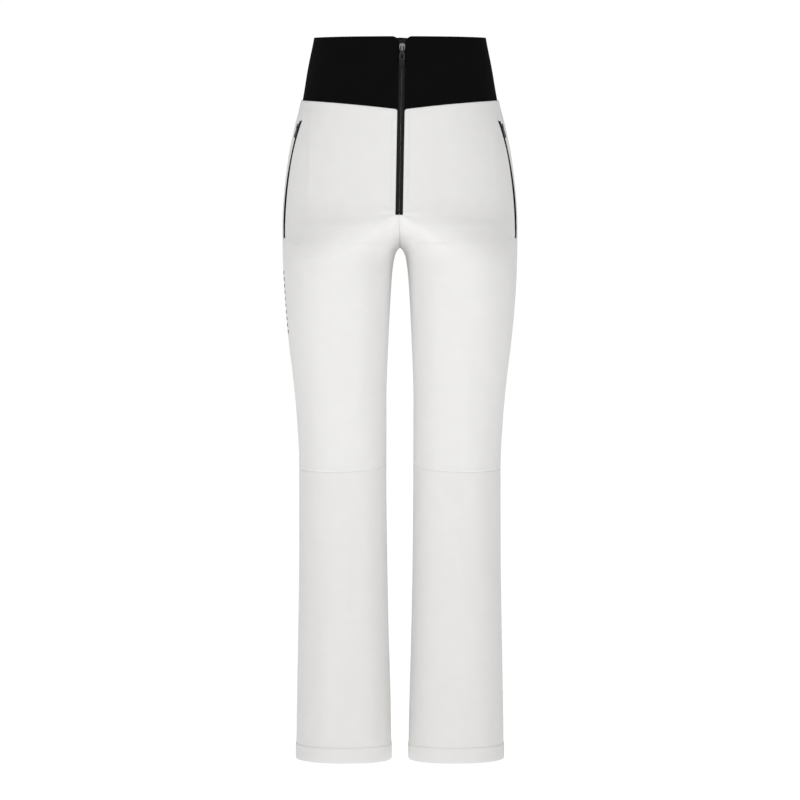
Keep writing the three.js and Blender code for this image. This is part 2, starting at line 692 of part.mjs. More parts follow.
function addZipPull(prefix, frame, slider, puller, sliderMaterial, pullerMaterial) {
  const pivot = frame.at.clone().addScaledVector(frame.out, slider.pivot);
  const body = add(`${prefix}_slider`, geometryOf(sliderSolid(slider)), sliderMaterial);
  orient(body, frame.across, frame.out, frame.up, frame.at);
  const tab = add(`${prefix}_puller`, geometryOf(pullerSolid(puller)), pullerMaterial);
  orient(tab, frame.across, frame.out, frame.up, pivot);
  return pivot;
}

// The rubber end on the fly's puller, below its metal plate.
function addCordEnd(frame, pivot) {
  const shape = new THREE.Shape();
  const half = CORD_END.width / 2;
  const top = -FLY_PULLER.length - 0.3;
  const foot = -FLY_PULLER.length - CORD_END.length;
  shape.moveTo(-half, top);
  shape.lineTo(-half, foot + 2.5);
  shape.quadraticCurveTo(-half, foot, -half + 2.5, foot);
  shape.lineTo(half - 2.5, foot);
  shape.quadraticCurveTo(half, foot, half, foot + 2.5);
  shape.lineTo(half, top);
  const end = add("fly_puller_end", geometryOf(plate(shape, -CORD_END.thick / 2, CORD_END.thick / 2)), black);
  orient(end, frame.across, frame.out, frame.up, pivot);
}

// ---- Pockets ----
function addPocket(side) {
  const name = sideName(side);
  const arc = pocketArcs.get(side);
  const tape = [-TAPE_THICK, 0];
  const teeth = [TAPE_INSET - TEETH_INSET - TEETH_THICK, TAPE_INSET - TEETH_INSET];
  const outerTeeth = ZIP_GAP + TEETH_WIDTH;
  for (const [edge, away] of [["front", side], ["rear", -side]]) {
    const across = (width) => [away * ZIP_GAP, away * width];
    add(`pocket_tape_${edge}_${name}`, arcStrip(arc, across(9), tape, [5, 5]), webbing);
    add(`pocket_teeth_${edge}_${name}`, arcStrip(arc, across(outerTeeth), teeth, [-2, -3]), black);
  }
  add(`pocket_bag_${name}`, pocketBag(side), lining);
  const rest = arcFrame(arc, arc.topAngle + POCKET_SLIDER_REST / arc.radius);
  addZipPull(`pocket_${name}`, rest, POCKET_SLIDER, POCKET_PULLER, black, black);
}

// An empty bag lies flat behind the front panel, from the zip towards the middle.
function pocketBag(side) {
  return patch({
    side, face: "front", shares: steps(0, 1, 5), heights: steps(POCKET_BOTTOM - 22, POCKET_TOP - 4, 7),
    edges: (_, length) => [length - 140, length - 26],
  }, BAG_INSET, BAG_INSET + 1.8);
}

// ---- Assembly ----
for (const side of [1, -1]) {
  addShellPanels(side);
  addLegRings(side);
  addPocket(side);
  addHangerLoop(side);
}
addWaistband();
addFly();
const closed = flyFrame(SLIDER_REST);
const flyPivot = addZipPull("fly", closed, FLY_SLIDER, FLY_PULLER, nickel, gunmetal);
addCordEnd(closed, flyPivot);

export default pants;
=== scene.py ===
"""High-waisted ski pants on their worn shape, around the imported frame.

The sewn panels, waistband, zip tapes, hems and gaiters are rebuilt finely from the same curves as
the CAD part. Modelling is in millimetres with heights counted up from the hem; make_piece() turns
that into the frame's metres. The wearer faces -Y and the wearer's left is +X.
"""
import math

import bmesh
import bpy
import numpy as np
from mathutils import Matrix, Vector


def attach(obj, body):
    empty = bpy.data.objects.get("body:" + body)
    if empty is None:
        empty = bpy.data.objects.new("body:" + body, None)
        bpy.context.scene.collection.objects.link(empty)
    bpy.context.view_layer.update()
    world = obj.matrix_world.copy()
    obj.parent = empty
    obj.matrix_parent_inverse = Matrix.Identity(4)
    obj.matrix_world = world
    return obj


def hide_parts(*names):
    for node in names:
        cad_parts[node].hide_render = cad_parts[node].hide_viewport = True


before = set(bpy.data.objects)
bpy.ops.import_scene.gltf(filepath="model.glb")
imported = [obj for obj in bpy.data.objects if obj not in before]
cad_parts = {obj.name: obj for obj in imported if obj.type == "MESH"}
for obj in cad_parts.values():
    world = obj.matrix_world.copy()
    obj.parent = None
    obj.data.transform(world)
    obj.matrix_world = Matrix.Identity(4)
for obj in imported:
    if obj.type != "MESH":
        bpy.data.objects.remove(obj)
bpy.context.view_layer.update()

# ---- Driving dimensions, as in the CAD part unless a comment says otherwise ----
SIDE_LENGTH = 1089.0
SEAM_HEIGHT = 994.0
HIP_HEIGHT = 812.0
CROTCH_HEIGHT = 771.0
KNEE_HEIGHT = 440.0
HEM_DEPTH = 23.5
WAIST_HALF_WIDTH = 132.0
HIP_HALF_WIDTH = 178.0
KNEE_HALF_WIDTH = 152.0
HEM_HALF_WIDTH = 157.0
LEG_GAP = 20.4
FABRIC = 2.2
SQUARENESS = 2.15
INSEAM_FLATNESS = 0.4  # the cloth lies flatter towards the inside of the leg than the plain form
FLY_BOTTOM = 813.0
FLY_TOP = 1074.0
FLY_CHANNEL = 5.5
TAPE_INSET = 3.4
TAPE_THICK = 1.0
TAPE_WIDTH = 14.0
ZIP_GAP = 0.5  # narrower than the CAD part's, because coils stand for its strips of teeth
POCKET_TOP = 957.0
POCKET_BOTTOM = 785.0
POCKET_TOP_OFFSET = 43.0
POCKET_REAR_OFFSET = 32.0
POCKET_REAR_HEIGHT = 832.0
POCKET_CHANNEL = 4.9  # wider than the CAD part's, to leave room for the binding
POCKET_TAPE_INSET = 4.6

# ---- Sewing ----
SEAM_DIP = 0.8  # how far a panel's face turns down into a seam
SEAM_WIDTH = 2.4
FOLD_RADIUS = 1.05  # rolled edges, half the cloth's thickness
BAND_THICK = 2.2
MESH_STEP = 3.6
FINE = (0.0, 0.15, 0.4, 0.75, 1.2, 1.8, 2.6, 3.8, 5.5)


def spline(stations):
    """A smooth curve through (position, value) stations that never overshoots between two of them."""
    xs, ys = np.array(stations, float).T
    slopes = np.diff(ys) / np.diff(xs)
    tangents = np.zeros(len(xs))
    tangents[0], tangents[-1] = slopes[0], slopes[-1]
    for i in range(1, len(xs) - 1):
        a, b = slopes[i - 1], slopes[i]
        tangents[i] = 0.0 if a * b <= 0 else 2 * a * b / (a + b)

    def curve(position):
        at = np.clip(position, xs[0], xs[-1])
        i = np.clip(np.searchsorted(xs, at, side="right") - 1, 0, len(xs) - 2)
        span = xs[i + 1] - xs[i]
        t = (at - xs[i]) / span
        u = 1 - t
        ends = u * u * (1 + 2 * t) * ys[i] + t * t * (3 - 2 * t) * ys[i + 1]
        return ends + span * t * u * (u * tangents[i] - t * tangents[i + 1])

    return curve


def smoothstep(start, end, value):
    t = np.clip((np.asarray(value, float) - start) / (end - start), 0, 1)
    return t * t * (3 - 2 * t)


OUTER = spline([
    (0, HEM_HALF_WIDTH), (150, 154.6), (300, 152.4), (KNEE_HEIGHT, KNEE_HALF_WIDTH), (510, 155.3),
    (571, 161), (631, 168.3), (691, 173.8), (752, 177), (HIP_HEIGHT, HIP_HALF_WIDTH),
    (858, 175.2), (903, 169.8), (949, 160.6), (SEAM_HEIGHT, 149.4), (1040, 141.5),
    (SIDE_LENGTH, WAIST_HALF_WIDTH), (1110, 129),
])
INNER = spline([
    (0, 12.8), (86, 14.4), (237, 18.2), (KNEE_HEIGHT, LEG_GAP), (540, 20.4), (631, 17.4), (691, 14.6),
    (735, 11.6), (755, 8.6), (766, 4.6), (CROTCH_HEIGHT, 0), (780, -11), (792, -34), (806, -75),
    (825, -160), (860, -260), (1110, -260),
])
FRONT = spline([
    (0, -84), (150, -75), (300, -72), (KNEE_HEIGHT, -79), (600, -94), (720, -107), (780, -114),
    (800, -115.8), (FLY_BOTTOM, -115), (880, -111), (947, -107), (1013, -103), (1110, -97.2),
])
BACK = spline([
    (0, 82), (150, 77), (300, 76), (KNEE_HEIGHT, 66), (600, 80), (700, 103), (760, 122),
    (820, 137), (870, 138), (930, 126), (SEAM_HEIGHT, 112), (1050, 106), (1110, 108),
])
FRONT_PEAK = spline([
    (0, 84), (KNEE_HEIGHT, 86), (700, 90), (745, 86), (CROTCH_HEIGHT, 70), (795, 38), (815, 14),
    (840, 0), (1110, 0),
])
BACK_PEAK = spline([
    (0, 86), (KNEE_HEIGHT, 87), (700, 92), (760, 88), (810, 72), (870, 44), (930, 14), (965, 0),
    (1110, 0),
])


def section(face, height):
    """Half the level section from the middle or inseam to the side seam, as points."""
    depth, peak = (FRONT, FRONT_PEAK) if face == "front" else (BACK, BACK_PEAK)
    depth, peak = float(depth(height)), float(peak(height))
    outer, inner = float(OUTER(height)), float(INNER(height))
    middle = (float(FRONT(height)) + float(BACK(height))) / 2

    def arc(edge, angles, squareness):
        x = peak + (edge - peak) * np.cos(angles) ** (2 / squareness)
        y = middle + (depth - middle) * np.clip(np.sin(angles), 0, None) ** (2 / squareness)
        return np.stack([x, y], 1)

    outside = arc(outer, np.linspace(np.pi / 2, 0, 240), SQUARENESS)
    if peak <= 0.01:
        return outside
    flatter = SQUARENESS + INSEAM_FLATNESS * (1 - float(smoothstep(690, CROTCH_HEIGHT, height)))
    cut = math.acos((peak / (peak - inner)) ** (flatter / 2)) if inner < 0 else 0.0
    return np.concatenate([arc(inner, np.linspace(cut, np.pi / 2, 240), flatter)[:-1], outside])


class Face:
    """The front or the back of the left half, tabled by height and by share of the way across."""

    STEP = 0.5
    HEIGHTS = np.arange(-6.0, 1112.0, STEP)
    SHARES = np.linspace(0, 1, 301)

    def __init__(self, name):
        self.sign = 1.0 if name == "front" else -1.0
        rows, lengths = [], []
        for height in self.HEIGHTS:
            points = section(name, height)
            walked = np.concatenate([[0], np.cumsum(np.hypot(*np.diff(points, axis=0).T))])
            lengths.append(walked[-1])
            at = self.SHARES * walked[-1]
            rows.append(np.stack([np.interp(at, walked, points[:, k]) for k in (0, 1)], 1))
        self.rows = np.array(rows)
        self.lengths = np.array(lengths)

    def length(self, height):
        return np.interp(height, self.HEIGHTS, self.lengths)

    def point(self, share, height):
        i = np.clip((height - self.HEIGHTS[0]) / self.STEP, 0, len(self.HEIGHTS) - 1.001)
        j = np.clip(share, 0, 1) * (len(self.SHARES) - 1.001)
        i0, j0 = i.astype(int), j.astype(int)
        fi, fj = (i - i0)[..., None], (j - j0)[..., None]
        low = self.rows[i0, j0] * (1 - fj) + self.rows[i0, j0 + 1] * fj
        high = self.rows[i0 + 1, j0] * (1 - fj) + self.rows[i0 + 1, j0 + 1] * fj
        flat = low * (1 - fi) + high * fi
        return np.concatenate([flat, np.asarray(height, float)[..., None]], -1)

    def normal(self, share, height):
        across = self.point(share + 0.006, height) - self.point(share - 0.006, height)
        up = self.point(share, height + 0.6) - self.point(share, height - 0.6)
        out = np.cross(across, up) * self.sign
        out[..., 0] = np.where((share <= 0.001) & (height > CROTCH_HEIGHT), 0, out[..., 0])
        return out / np.linalg.norm(out, axis=-1, keepdims=True)


FACES = {"front": Face("front"), "back": Face("back")}

# ---- Relief: how the cloth lies proud of or below the smooth form ----
RANDOM = np.random.default_rng(11)
WAVES = [
    (amplitude,
     RANDOM.normal(0, 1, (9, 3)) * 2 * np.pi / length * np.array(stretch),
     RANDOM.uniform(0, 6.28, 9))
    for amplitude, length, stretch in (
        (0.26, 150.0, (1.3, 1.3, 0.4)),
        (0.10, 60.0, (1.2, 1.2, 0.5)),
        (0.035, 22.0, (1.0, 1.0, 0.8)),
    )
]
# Soft vertical ridges on the front: (x at the top, x at the foot, top, foot, width, height)
RIDGES = [
    (-52, -66, 745, 470, 13, 1.5),
    (101, 99, 610, 446, 8, 1.3),
    (76, 96, 425, 240, 9, 1.3),
    (-90, -104, 425, 110, 15, 1.4),
    (-133, -136, 1000, 830, 4.5, 0.6),
    (140, 143, 1000, 840, 4.5, 0.6),
]
# Pressed dents down the wearer's left shin.
DENTS = [(50, 278), (52, 242), (53, 207), (55, 172), (57, 121), (60, 74)]


def noise(points):
    total = 0
    for amplitude, directions, phases in WAVES:
        total = total + amplitude * np.sin(points @ directions.T + phases).sum(-1) / 3
    return total


def bell(value):
    return np.exp(-value * value)


def front_relief(x, z):
    total = 0
    for top_x, foot_x, top, foot, width, height in RIDGES:
        along = np.clip((top - z) / (top - foot), 0, 1)
        line = top_x + (foot_x - top_x) * along
        fade = smoothstep(foot - 30, foot + 40, z) * (1 - smoothstep(top - 40, top + 20, z))
        total = total + height * bell((x - line) / width) * fade
    for at_x, at_z in DENTS:
        sag = (z - at_z - ((x - at_x) / 9) ** 2) / 5
        total = total - 0.5 * bell((x - at_x) / 13) * bell(sag)
    return total + fly_puckers(x, z)


def fly_puckers(x, z):
    """Small folds that fan out from the foot of the fly, and dimples beside its stitching."""
    reach = np.hypot(x, z - FLY_BOTTOM)
    angle = np.arctan2(z - (FLY_BOTTOM + 2), np.abs(x))
    fan = np.sin(angle * 9 + np.sign(x) * 0.7) * smoothstep(6, 11, reach) * (1 - smoothstep(18, 46, reach))
    low = 1 - smoothstep(FLY_BOTTOM + 6, FLY_BOTTOM + 26, z)
    beat = np.sin(z * 2 * np.pi / 27 + np.sign(x) * 1.1) + 0.6 * np.sin(z * 2 * np.pi / 11.3)
    dimples = 0.13 * beat * bell((np.abs(x) - 12) / 3.0) * smoothstep(FLY_BOTTOM, FLY_BOTTOM + 20, z)
    band = 0.22 * smoothstep(5, 8, np.abs(x)) * (1 - smoothstep(12, 14.5, np.abs(x)))
    return 0.42 * fan * low + (dimples + band * (z > FLY_BOTTOM - 4)) * (1 - smoothstep(960, 972, z))


def back_relief(x, z):
    """Folds behind the knees and under the seat, deepest towards the inside of the leg."""
    inside = smoothstep(10, 60, np.abs(x)) * (1 - smoothstep(95, 150, np.abs(x)))
    knee = np.sin((z - 470 + 0.12 * np.abs(x)) * 2 * np.pi / 37) * bell((z - 465) / 48)
    seat = np.sin((z - 742 - 0.35 * (np.abs(x) - 60)) * 2 * np.pi / 44) * bell((z - 728) / 40)
    return inside * (1.3 * knee + 1.0 * seat)


def relief(side, face, share, height, base):
    x = side * base[..., 0]
    signed = np.stack([x, base[..., 1], height], -1)
    total = noise(signed) + (front_relief(x, height) if face == "front" else back_relief(x, height))
    total = total * (1 - smoothstep(962, 985, height)) * smoothstep(-2, 40, height)
    if face == "front":
        on_fly = (height > FLY_BOTTOM - 3) & (np.abs(x) < 30)
        total = np.where(on_fly, total * smoothstep(4.5, 9, np.abs(x)), total)
        from_pocket = np.abs(share * FACES["front"].length(height) - pocket_line(height))
        total = total * smoothstep(7, 22, from_pocket)
        from_side = FACES["front"].length(height) * (1 - share)
        total = np.where(height < 770, total, total * smoothstep(0, 14, from_side))
    return total


# ---- Placing points ----
FLY_LEAN_TOP = 3.4
FLY_LEAN_BOTTOM = -1.3
FLY_LEAN_REACH = 70.0


def leaned(points):
    """Moves the front's middle over to follow the fly, which leans."""
    x, y, z = points[..., 0], points[..., 1], points[..., 2]
    rise = (z - FLY_BOTTOM) / (FLY_TOP - FLY_BOTTOM)
    leaning = FLY_LEAN_BOTTOM + (FLY_LEAN_TOP - FLY_LEAN_BOTTOM) * rise
    above_crotch = smoothstep(CROTCH_HEIGHT, FLY_BOTTOM, z)
    shift = leaning * above_crotch * (1 - smoothstep(0, FLY_LEAN_REACH, np.abs(x)))
    moved = points.copy()
    moved[..., 0] = x + np.where(y < 0, shift, 0)
    return moved


def placed(side, face, share, height, inset, rough=True):
    """Points below the cloth's face on the wearer's left (side 1) or right (side -1)."""
    share, height = np.broadcast_arrays(np.asarray(share, float), np.asarray(height, float))
    base = FACES[face].point(share, height)
    depth = np.asarray(inset, float)
    if rough:
        depth = depth - relief(side, face, share, height, base)
    points = base - FACES[face].normal(share, height) * np.broadcast_to(depth, share.shape)[..., None]
    points[..., 0] *= side
    return leaned(points)


# ---- The pocket zips' arcs, as in the CAD part ----
def pocket_offset(height):
    rise = (height - POCKET_REAR_HEIGHT) / (POCKET_TOP - POCKET_REAR_HEIGHT)
    return POCKET_REAR_OFFSET + (POCKET_TOP_OFFSET - POCKET_REAR_OFFSET) * rise**2


def pocket_point(side, height):
    share = 1 - pocket_offset(height) / FACES["front"].length(height)
    return placed(side, "front", share, height, POCKET_TAPE_INSET, rough=False)


class Arc:
    """The circle through a pocket line's top, middle and foot, with the zip's axes along it."""

    def __init__(self, side):
        middle_height = (POCKET_TOP + POCKET_BOTTOM) / 2
        top, self.middle, foot = (pocket_point(side, h) for h in (POCKET_TOP, middle_height, POCKET_BOTTOM))
        to_middle, to_foot = self.middle - top, foot - top
        plane = np.cross(to_middle, to_foot)
        offset = (np.cross(plane, to_middle) * (to_foot @ to_foot)
                  + np.cross(to_foot, plane) * (to_middle @ to_middle))
        self.centre = top + offset / (2 * plane @ plane)
        self.axis = plane / np.linalg.norm(plane)
        spoke = self.middle - self.centre
        self.radius = np.linalg.norm(spoke)
        self.up = np.cross(spoke, self.axis)
        self.up /= np.linalg.norm(self.up)
        share = 1 - POCKET_REAR_OFFSET / FACES["front"].length(middle_height)
        skin = FACES["front"].normal(np.array(share), np.array(middle_height)) * np.array([side, 1, 1])
        self.across = np.cross(skin, self.up)
        self.across /= np.linalg.norm(self.across)
        self.out = np.cross(self.up, self.across)
        self.top_angle = -self.angle_to(top)
        self.foot_angle = self.angle_to(foot)

    def angle_to(self, point):
        a, b = point - self.centre, self.middle - self.centre
        return math.acos(a @ b / np.linalg.norm(a) / np.linalg.norm(b))

    def turned(self, vector, angles):
        c, s = np.cos(angles)[:, None], np.sin(angles)[:, None]
        return vector * c + np.cross(self.axis, vector) * s + self.axis * (self.axis @ vector) * (1 - c)

    def points(self, angles, across, out):
        """A grid of points: one row per angle, one column per (across, out) pair."""
        at = self.turned(self.middle - self.centre, angles) + self.centre
        sideways, outwards = self.turned(self.across, angles), self.turned(self.out, angles)
        across, out = np.broadcast_arrays(np.asarray(across, float), np.asarray(out, float))
        return (at[:, None] + sideways[:, None] * across[None, :, None]
                + outwards[:, None] * out[None, :, None])


ARCS = {side: Arc(side) for side in (1, -1)}


def nearest_line():
    """Distance from the middle of the front to the left pocket's arc, at heights along it."""
    arc = ARCS[1]
    angles = np.linspace(arc.top_angle, arc.foot_angle, 60)
    on_skin = arc.points(angles, [0.0], [POCKET_TAPE_INSET])[:, 0]
    shares = np.linspace(0.6, 1, 400)
    found = []
    for point in on_skin:
        row = FACES["front"].point(shares, np.full(400, point[2]))
        share = shares[np.argmin(np.linalg.norm(row - point, axis=1))]
        found.append((point[2], share * FACES["front"].length(point[2])))
    found = np.array(found[::-1])
    below = [(h, FACES["front"].length(h) - 40) for h in (-10, 700)]
    above = [(1112, FACES["front"].length(1112) - 50)]
    return np.concatenate([below, found, above])


POCKET_TABLE = nearest_line()


def pocket_line(height):
    return np.interp(height, POCKET_TABLE[:, 0], POCKET_TABLE[:, 1])


# ---- Meshes ----
def make_piece(name, points, faces, material, uvs=None, smooth=True, body="garment"):
    """A mesh piece from points in millimetres, faces as index rows and one UV per point."""
    mesh = bpy.data.meshes.new(name)
    metres = points / 1000 - np.array([0, 0, SIDE_LENGTH / 1000])
    mesh.from_pydata(metres.tolist(), [], faces.tolist() if isinstance(faces, np.ndarray) else faces)
    if uvs is not None:
        layer = mesh.uv_layers.new(name="UVMap")
        corners = np.zeros(len(mesh.loops), int)
        mesh.loops.foreach_get("vertex_index", corners)
        layer.data.foreach_set("uv", (uvs[corners] / 1000).ravel())
    work = bmesh.new()
    work.from_mesh(mesh)
    bmesh.ops.recalc_face_normals(work, faces=work.faces)
    work.to_mesh(mesh)
    work.free()
    mesh.polygons.foreach_set("use_smooth", [smooth] * len(mesh.polygons))
    mesh.materials.append(material)
    piece = bpy.data.objects.new(name, mesh)
    bpy.context.scene.collection.objects.link(piece)
    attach(piece, body)
    return piece


def closed_shell(outer, inner, uv, mask, ring=False):
    """Points, faces and UVs of the closed body between two grids, over the cells in the mask."""
    rows, columns = outer.shape[:2]
    total = rows * columns
    index = np.arange(total).reshape(rows, columns)
    if ring:
        index = np.concatenate([index, index[:, :1]], 1)
    a, b, c, d = index[:-1, :-1], index[:-1, 1:], index[1:, 1:], index[1:, :-1]
    faces = [np.stack([a, b, c, d], -1)[mask], np.stack([a, d, c, b], -1)[mask] + total]
    side = np.pad(mask, 1)
    if ring:
        side[1:-1, 0], side[1:-1, -1] = mask[:, -1], mask[:, 0]
    neighbours = ((side[:-2, 1:-1], a, b), (side[2:, 1:-1], c, d),
                  (side[1:-1, 2:], b, c), (side[1:-1, :-2], d, a))
    for beside, p, q in neighbours:
        rim = mask & ~beside
        faces.append(np.stack([q, p, p + total, q + total], -1)[rim])
    faces = np.concatenate(faces)
    points = np.concatenate([outer.reshape(-1, 3), inner.reshape(-1, 3)])
    uvs = np.concatenate([uv.reshape(-1, 2)] * 2)
    used, faces = np.unique(faces, return_inverse=True)
    return points[used], faces.reshape(-1, 4), uvs[used]


def graded(start, end, stops, step=MESH_STEP, fine=FINE):
    """Positions from start to end, close together near the ends and each stop."""
    marks = set()
    for stop in (start, end, *stops):
        for offset in fine:
            marks.update((round(stop - offset, 3), round(stop + offset, 3)))
    marks = sorted(m for m in marks if start <= m <= end)
    filled = [marks[0]]
    for mark in marks[1:]:
        last = filled[-1]
        gap = mark - last
        if gap < 0.1:
            continue
        count = max(1, round(gap / step))
        filled.extend(last + gap * (i + 1) / count for i in range(count))
    return np.array(filled)


def fold(distance):
    """How far a rolled edge's face lies below the cloth's face, at a distance from the edge."""
    near = np.clip(1 - distance / FOLD_RADIUS, 0, 0.99)
    return FOLD_RADIUS * (1 - np.sqrt(1 - near**2))


def seam(distance):
    near = np.clip(1 - distance / SEAM_WIDTH, 0, 1)
    return SEAM_DIP * (1 - np.sqrt(1 - near**2 * 0.98))


def band_seam_shift(face, along):
    return (-25 if face == "front" else 7) * (1 - along)


def knee_shift(face, along):
    bow = -10 * np.sin(np.pi * along) if face == "front" else 0
    return 7 - 8 * along + bow


def body_shift(face, height, along):
    near_knee = 1 - smoothstep(0, 130, np.abs(height - KNEE_HEIGHT))
    near_band = smoothstep(880, SEAM_HEIGHT, height)
    return band_seam_shift(face, along) * near_band + knee_shift(face, along) * near_knee


EDGE_BLOCK = np.array(FINE) + 0.03
# The half section widens fast just under the crotch, so rows lie close there.
CROTCH_ROWS = np.concatenate([np.arange(768.0, 776.0, 0.35), np.arange(776.1, 800.0, 0.8)])
FLY_BLOCK = np.array([
    0.03, 0.4, 1.0, 1.9, 2.8, 3.7, 4.3, 4.75, 5.1, 5.35, 5.5, 5.65, 5.9, 6.25, 6.7, 7.3, 8.1, 9.3, 11.0,
])


def panel_columns(face, heights, first, slot=None):
    """Distances from the middle for every column at each height: fine near both edges and the slot."""
    lengths = FACES[face].length(heights)
    blocks = [np.broadcast_to(first, (len(heights), len(first)))]
    if slot is not None:
        left, right = slot[0][:, None], slot[1][:, None]
        away = np.array(FINE[:-1])
        blocks.append(np.concatenate([left - away[::-1], (left + right) / 2, right + away], 1))
    blocks.append(lengths[:, None] - EDGE_BLOCK[::-1])
    joined = [blocks[0]]
    for block in blocks[1:]:
        start, end = joined[-1][:, -1], block[:, 0]
        count = max(1, round(float(np.max(end - start)) / MESH_STEP))
        shares = np.arange(1, count) / count
        joined += [start[:, None] + (end - start)[:, None] * shares, block]
    return np.concatenate(joined, 1), lengths[:, None]


def side_name(side):
    return "left" if side > 0 else "right"


def shell_panel(side, face, part):
    """One sewn panel of the white shell: upper or lower, front or back."""
    name = f"{face}_{part}_{side_name(side)}"
    upper, with_openings = part == "upper", part == "upper" and face == "front"
    stops = (FLY_BOTTOM, POCKET_BOTTOM - 1.5, POCKET_TOP + 3) if with_openings else ()
    low, high = (KNEE_HEIGHT, SEAM_HEIGHT) if upper else (HEM_DEPTH - 3, KNEE_HEIGHT)
    heights = graded(low, high, stops)
    if upper:
        clear = np.abs(heights[:, None] - CROTCH_ROWS[None, :]).min(1) > 0.3
        heights = np.sort(np.concatenate([heights[clear], CROTCH_ROWS]))
    along_line = pocket_line(heights) / FACES[face].length(heights)
    line = pocket_line(heights + body_shift(face, heights, along_line))
    slot = (line - POCKET_CHANNEL, line + POCKET_CHANNEL) if with_openings else None
    distance, lengths = panel_columns(face, heights, FLY_BLOCK if with_openings else EDGE_BLOCK, slot)
    along = distance / lengths
    height = heights[:, None] + body_shift(face, heights[:, None], along)
    to_knee = np.abs(heights - KNEE_HEIGHT)[:, None]
    dip = np.maximum(seam(lengths - distance), seam(to_knee) + 0 * distance)
    rolled = np.full_like(distance, 99.0)
    mask = np.ones((distance.shape[0] - 1, distance.shape[1] - 1), bool)
    if with_openings:
        fly = np.hypot(np.clip(distance - FLY_CHANNEL, 0, None), np.clip(FLY_BOTTOM - height, 0, None))
        beside = np.clip(np.abs(distance - line[:, None]) - POCKET_CHANNEL, 0, None)
        past = np.clip(np.maximum(height - POCKET_TOP - 3, POCKET_BOTTOM - 1.5 - height), 0, None)
        rolled = np.minimum(fly, np.hypot(beside, past))
        corners = (rolled[:-1, :-1], rolled[1:, 1:], rolled[:-1, 1:], rolled[1:, :-1])
        mask = sum(corners) / 4 > 0.03
        dip = np.maximum(dip, np.where(height < FLY_BOTTOM - 1, seam(distance), 0))
    else:
        dip = np.maximum(dip, seam(distance))
    if upper:
        rolled = np.minimum(rolled, (SEAM_HEIGHT - heights)[:, None])
        if face == "front":
            near_top = smoothstep(SEAM_HEIGHT - 9, SEAM_HEIGHT, heights)[:, None]
            height = height - corner_drop(distance, 3.2) * near_top
    share = distance / FACES[face].length(height)
    pucker = 0.14 * np.sin(height * 2 * np.pi / 13 + side) * bell((lengths - distance) / 7)
    outer = placed(side, face, share, height, np.maximum(dip, fold(rolled)) + pucker)
    inner = placed(side, face, share, height, FABRIC - fold(rolled))
    uv = np.stack([distance * side, height], -1)
    points, faces, uvs = closed_shell(outer, inner, uv, mask)
    # Lower panels take the shell copy darkened with painted shade
    return finish_cloth(name, points, faces, uvs, SHELL if upper else SHELL_LOWER_PAINTED_SHADE)


def corner_drop(distance, radius):
    """How much a rounded corner beside the fly takes off the panel's upper edge."""
    near = np.clip(1 - (distance - FLY_CHANNEL) / radius, 0, 0.98)
    return radius * (1 - np.sqrt(1 - near**2))


def finish_cloth(name, points, faces, uvs, material):
    """A cloth piece that stands for the CAD node of the same name."""
    piece = make_piece(name + "_cloth", points, faces, material, uvs)
    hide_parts(name)
    return piece


# ---- Waistband ----
FACING_START = 24  # the facing and the grip strip start clear of the zip


def band_height(face, level, along):
    rise = (level - SEAM_HEIGHT) / (SIDE_LENGTH - SEAM_HEIGHT)
    edge = -10.5 * (1 - along**2.1) if face == "front" else 12 * (1 - along)
    return level + band_seam_shift(face, along) * (1 - rise) + edge * rise


def band_grid(side, face, levels, distance, lengths, inset):
    along = distance / lengths
    height = band_height(face, levels[:, None], along)
    if face == "front":
        near_edge = smoothstep(SIDE_LENGTH - 14, SIDE_LENGTH, levels)[:, None]
        height = height - corner_drop(distance - 0.5, 8.5) * near_edge
    base = 0.4 + 1.8 * np.clip(along * 1.6, 0, 1)
    ease = 0.25 * np.sin(along * 19 + side) * np.sin((levels[:, None] - SEAM_HEIGHT) / 30)
    share = distance / FACES[face].length(height)
    return placed(side, face, share, height, base + inset + ease), np.stack([distance * side, height], -1)


def strip_round(sides_faces, levels, extra, thick, first):
    """Grids joined end to end over several (side, face) runs, each with a direction of travel."""
    tops, unders, uvs = [], [], []
    for side, face, backwards in sides_faces:
        start = first if face == "front" else 0.0
        distance, lengths = panel_columns(face, levels, EDGE_BLOCK + start)
        rolled = np.minimum(levels - levels[0], levels[-1] - levels)[:, None] + 0 * distance
        if face == "front":
            rolled = np.minimum(rolled, distance - start - 0.03)
        turn = fold(rolled) * thick / FABRIC
        top, uv = band_grid(side, face, levels, distance, lengths, extra + turn)
        under, _ = band_grid(side, face, levels, distance, lengths, extra + thick - turn)
        step = -1 if backwards else 1
        skip = 1 if tops else 0
        for store, grid in ((tops, top), (unders, under), (uvs, uv)):
            store.append(grid[:, ::step][:, skip:])
    return [np.concatenate(parts, 1) for parts in (tops, unders, uvs)]


def band_piece(name, runs, levels, extra, thick, first, material):
    outer, inner, uv = strip_round(runs, levels, extra, thick, first)
    mask = np.ones((outer.shape[0] - 1, outer.shape[1] - 1), bool)
    points, faces, uvs = closed_shell(outer, inner, uv, mask)
    return finish_cloth(name, points, faces, uvs, material)


def waistband():
    levels = graded(SEAM_HEIGHT - 2, SIDE_LENGTH, ())
    for side in (1, -1):
        name = f"waistband_front_{side_name(side)}"
        front = [(side, "front", False)]
        band_piece(name, front, levels, 0, BAND_THICK, FLY_CHANNEL - 0.5, KNIT)
    across_back = [(1, "back", True), (-1, "back", False)]
    band_piece("waistband_back", across_back, levels, 0, BAND_THICK, 0, KNIT)
    around = [(1, "front", False), (1, "back", True), (-1, "back", False), (-1, "front", True)]
    facing = graded(SEAM_HEIGHT + 4, SIDE_LENGTH - 1.5, ())
    band_piece("waistband_facing", around, facing, BAND_THICK + 0.15, 1.2, FACING_START, KNIT_INSIDE)
    grip = graded(1060, SIDE_LENGTH - 9, ())
    band_piece("waist_grip_tape", around, grip, BAND_THICK + 1.5, 0.8, FACING_START, GRIP)


